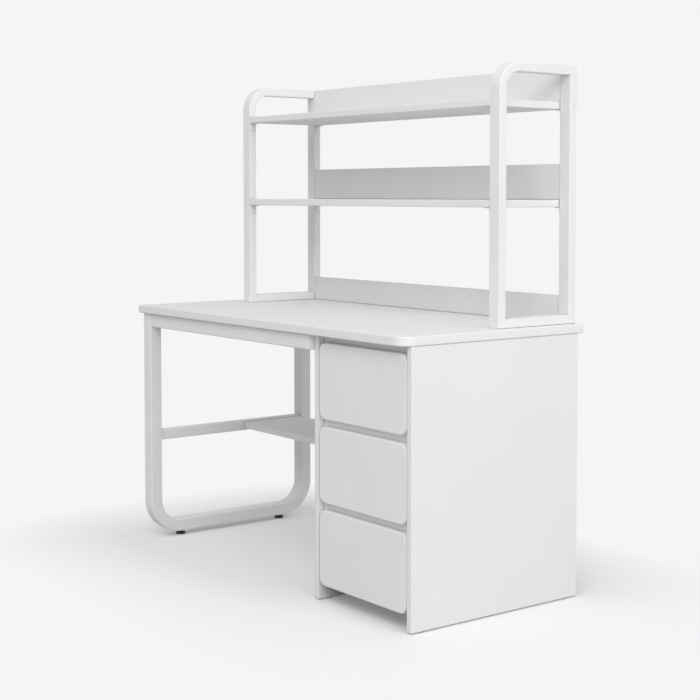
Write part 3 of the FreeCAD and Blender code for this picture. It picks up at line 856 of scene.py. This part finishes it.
def set_screws(name, body, spots, size, tall, socket):
    """Set one kind of screw at every (place, facing) of a body. Its size and socket are diameters."""
    mesh = bpy.data.meshes.new(name)
    mesh.from_pydata([place for place, facing in spots], [], [])
    directions = mesh.attributes.new("facing", "FLOAT_VECTOR", "POINT")
    for item, (place, facing) in zip(directions.data, spots):
        item.vector = facing
    piece = screws.make(name, mesh, {"Radius": size / 2, "Tall": tall, "Socket Radius": socket / 2})
    fit(piece, body, "zinc_steel")
    print(name + ":", len(spots))


shelf_low, shelf_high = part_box("hutch_upper_shelf")
shelf_middle = (shelf_low.z + shelf_high.z) / 2
post_bolts = []
for side, facing in (("left", LEFT), ("right", RIGHT)):
    low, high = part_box(f"hutch_{side}_rear_post")
    outer = low.x if facing == LEFT else high.x
    post_bolts.append(((outer, (low.y + high.y) / 2, shelf_middle), facing))
set_screws("hutch_post_bolts", "desk_frame", post_bolts, size=0.008, tall=0.0016, socket=0.004)

bar_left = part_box("left_leg_crossbar")[0].x
board_low, board_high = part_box("lower_shelf")
board_middle = (board_low.z + board_high.z) / 2
bolt_ys = (board_low.y + BOLT_INSET, board_high.y - BOLT_INSET)
bar_bolts = [((bar_left, y, board_middle), LEFT) for y in bolt_ys]
set_screws("lower_shelf_bolts", "desk_frame", bar_bolts, size=0.010, tall=0.0024, socket=0.005)

# %% [markdown]
# A folded tab under each corner of a shelf ties it to a post, with one screw up into the shelf and one into
# the post. The sizes below are those of the tabs in the frame.

# %% Screws of the shelf tabs
TAB_INSET, TAB_LONG, TAB_WIDE, TAB_DROP, TAB_SHEET = 0.003, 0.020, 0.020, 0.024, 0.002

tab_screws = []
rear_post_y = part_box("hutch_left_rear_post")[0].y
for shelf in ("hutch_middle_shelf", "hutch_upper_shelf"):
    low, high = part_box(shelf)
    under, beside = low.z - TAB_SHEET, low.z - (TAB_DROP + TAB_SHEET) / 2
    for post_y in (low.y, rear_post_y):
        y = post_y + TAB_INSET + TAB_LONG / 2
        for wall, inward in ((low.x, RIGHT), (high.x, LEFT)):
            reach = (TAB_WIDE + TAB_SHEET) / 2
            tab_screws.append(((wall + reach * inward[0], y, under), DOWN))
            tab_screws.append(((wall + TAB_SHEET * inward[0], y, beside), inward))
set_screws("shelf_tab_screws", "desk_frame", tab_screws, size=0.007, tall=0.0014, socket=0.0032)

# %% [markdown]
# The worktop is screwed down from below, through the rails that carry it. The heads are only seen from under
# the desk, spread along each rail.

# %% Screws under the worktop
APRON_SHARES = (0.12, 0.5, 0.88)
TOP_RAIL_SHARES = (0.2, 0.8)

rail_screws = []
for node in ("front_apron_rail", "rear_apron_rail"):
    low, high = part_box(node)
    for share in APRON_SHARES:
        rail_screws.append(((low.x + share * (high.x - low.x), (low.y + high.y) / 2, low.z), DOWN))
low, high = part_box("left_leg_top_rail")
for share in TOP_RAIL_SHARES:
    rail_screws.append((((low.x + high.x) / 2, low.y + share * (high.y - low.y), low.z), DOWN))
set_screws("worktop_screws", "desk_frame", rail_screws, size=0.010, tall=0.0018, socket=0.0045)

# %% [markdown]
# A drawer's front is drawn tight by cams, flush discs on the inner faces of its sides, and each side is
# screwed to its slide through the slide's thin web. They ride on their own drawer, so each drawer has one
# mesh of each kind.

# %% Cam discs and slide screws of the drawers
CAM_BEHIND_FRONT = 0.024
CAM_HEIGHTS = (0.040, 0.115)
SLIDE_WEB = 0.0012
SLIDE_SHARES = (0.07, 0.46, 0.86)

for drawer in ("top_drawer", "middle_drawer", "bottom_drawer"):
    cams, webs = [], []
    slide_low, slide_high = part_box(drawer + "_slide_inner")
    middle_z = (slide_low.z + slide_high.z) / 2
    for side, inward, outward in (("left", RIGHT, LEFT), ("right", LEFT, RIGHT)):
        low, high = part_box(f"{drawer}_{side}_side")
        inner, outer = (high.x, low.x) if side == "left" else (low.x, high.x)
        for up in CAM_HEIGHTS:
            cams.append(((inner, low.y + CAM_BEHIND_FRONT, low.z + up), inward))
        for share in SLIDE_SHARES:
            y = slide_low.y + share * (slide_high.y - slide_low.y)
            webs.append(((outer + SLIDE_WEB * outward[0], y, middle_z), outward))
    set_screws(drawer + "_cams", drawer, cams, size=0.015, tall=0.0004, socket=0.006)
    set_screws(drawer + "_slide_screws", drawer, webs, size=0.008, tall=0.0010, socket=0.004)

# %% [markdown]
# The floor is a pale sheet that carries the desk's soft shadow and fades into the backdrop, so no horizon
# shows. Near the desk most of what the camera sees is the lit sheet, and further out it is an even glow of
# the backdrop's grey. The distance from the desk's box mixes the two.

# %% Floor
BACKDROP = 0.912
FLOOR_SIDE = 60.0
FADE_START, FADE_END = 0.05, 0.5
SHADOW_SHARE = 0.85
FLOOR_BOUNCE = 0.60
FLOOR_TONE = 0.88


def seen_directly(bench):
    """1 for rays from the camera or from a reflection, and 0 for the rest."""
    rays = bench.node("ShaderNodeLightPath", output="Is Camera Ray")
    rays = rays + rays.other("Is Glossy Ray") + rays.other("Is Transmission Ray")
    return bench.node("ShaderNodeClamp", sockets={"Value": rays})


def vector_maths(bench, operation, *vectors, output="Vector"):
    return bench.node("ShaderNodeVectorMath", {"operation": operation}, dict(enumerate(vectors)), output)


paper = Finish("floor_paper", roughness=0.9)
paper.feed("Specular IOR Level", 0.0)
paper.feed("Base Color", paper.mix(seen_directly(paper), grey(FLOOR_BOUNCE), grey(FLOOR_TONE)))
from_middle = vector_maths(paper, "ABSOLUTE", paper.place)
beyond = vector_maths(paper, "SUBTRACT", from_middle, cad_box[1])
beyond = vector_maths(paper, "MAXIMUM", beyond, (0, 0, 0))
far = paper.ramp(vector_maths(paper, "LENGTH", beyond, output="Value"), FADE_START, FADE_END)
share = seen_directly(paper) * (1 - SHADOW_SHARE * (1 - far))
lit = Wire(paper, paper.shader.outputs["BSDF"])
glow = paper.node("ShaderNodeEmission", sockets={"Color": grey(BACKDROP), "Strength": 1.0})
surface = paper.node("ShaderNodeMixShader", sockets={0: share, 1: lit, 2: glow})
paper.plug(surface, paper.tree.nodes["Material Output"].inputs["Surface"])

edge = FLOOR_SIDE / 2
floor_mesh = bpy.data.meshes.new("floor")
floor_mesh.from_pydata([(-edge, -edge, 0), (edge, -edge, 0), (edge, edge, 0), (-edge, edge, 0)],
                       [], [(0, 1, 2, 3)])
floor_mesh.materials.append(paper.material)
floor = put_in_scene("floor", floor_mesh)
print("floor:", FLOOR_SIDE, "m square")

# %% [markdown]
# Round the desk lies the world. Camera rays, and the rays of reflections, see the backdrop's pale grey there;
# all other rays see the even light that the room gives, which fills the undersides.

# %% Backdrop and room light
ROOM_LIGHT = 0.48

world = bpy.data.worlds.new("studio")
world.use_nodes = True
bpy.context.scene.world = world
room = Bench(world.node_tree)
seen = room.mix(seen_directly(room), grey(ROOM_LIGHT), grey(BACKDROP))
room.plug(seen, world.node_tree.nodes["Background"].inputs["Color"])
print("backdrop at", BACKDROP, "and room light at", ROOM_LIGHT)

# %% [markdown]
# Large soft lamps light the desk. The key lamp at the right makes the end panel and the hutch's outer faces
# the brightest. The lamp at the front right lights the drawer fronts and the inner sides of the tubes, the
# high one in front lights the worktop and leaves the rails under it in shade, and a weak one behind keeps the
# back from going dull. Large lamps far away give the soft-edged shade of a studio, and their watts are low
# enough that no white is lost.

# %% Lamps
LAMPS = {
    "key": {"place": (5.4, -0.2, 3.0), "side": 3.4, "watts": 99},
    "front": {"place": (4.8, -4.8, 5.0), "side": 3.6, "watts": 186},
    "top": {"place": (0.8, -4.6, 8.0), "side": 4.0, "watts": 134},
    "back": {"place": (1.6, 6.0, 2.6), "side": 3.0, "watts": 34},
}
AIM = Vector((0, 0, 0.7))

for name, lamp in LAMPS.items():
    light = bpy.data.lights.new(name, "AREA")
    light.shape = "SQUARE"
    light.size = lamp["side"]
    light.energy = lamp["watts"]
    holder = put_in_scene(name, light)
    holder.location = lamp["place"]
    holder.rotation_euler = (AIM - holder.location).to_track_quat("-Z", "Y").to_euler()
bpy.context.scene.view_settings.view_transform = "Standard"
print("lamps:", ", ".join(LAMPS))

# %% [markdown]
# The new pieces must not make the desk larger than its frame. The frame's box is kept from the start.

# %% Finish
print("scene built")
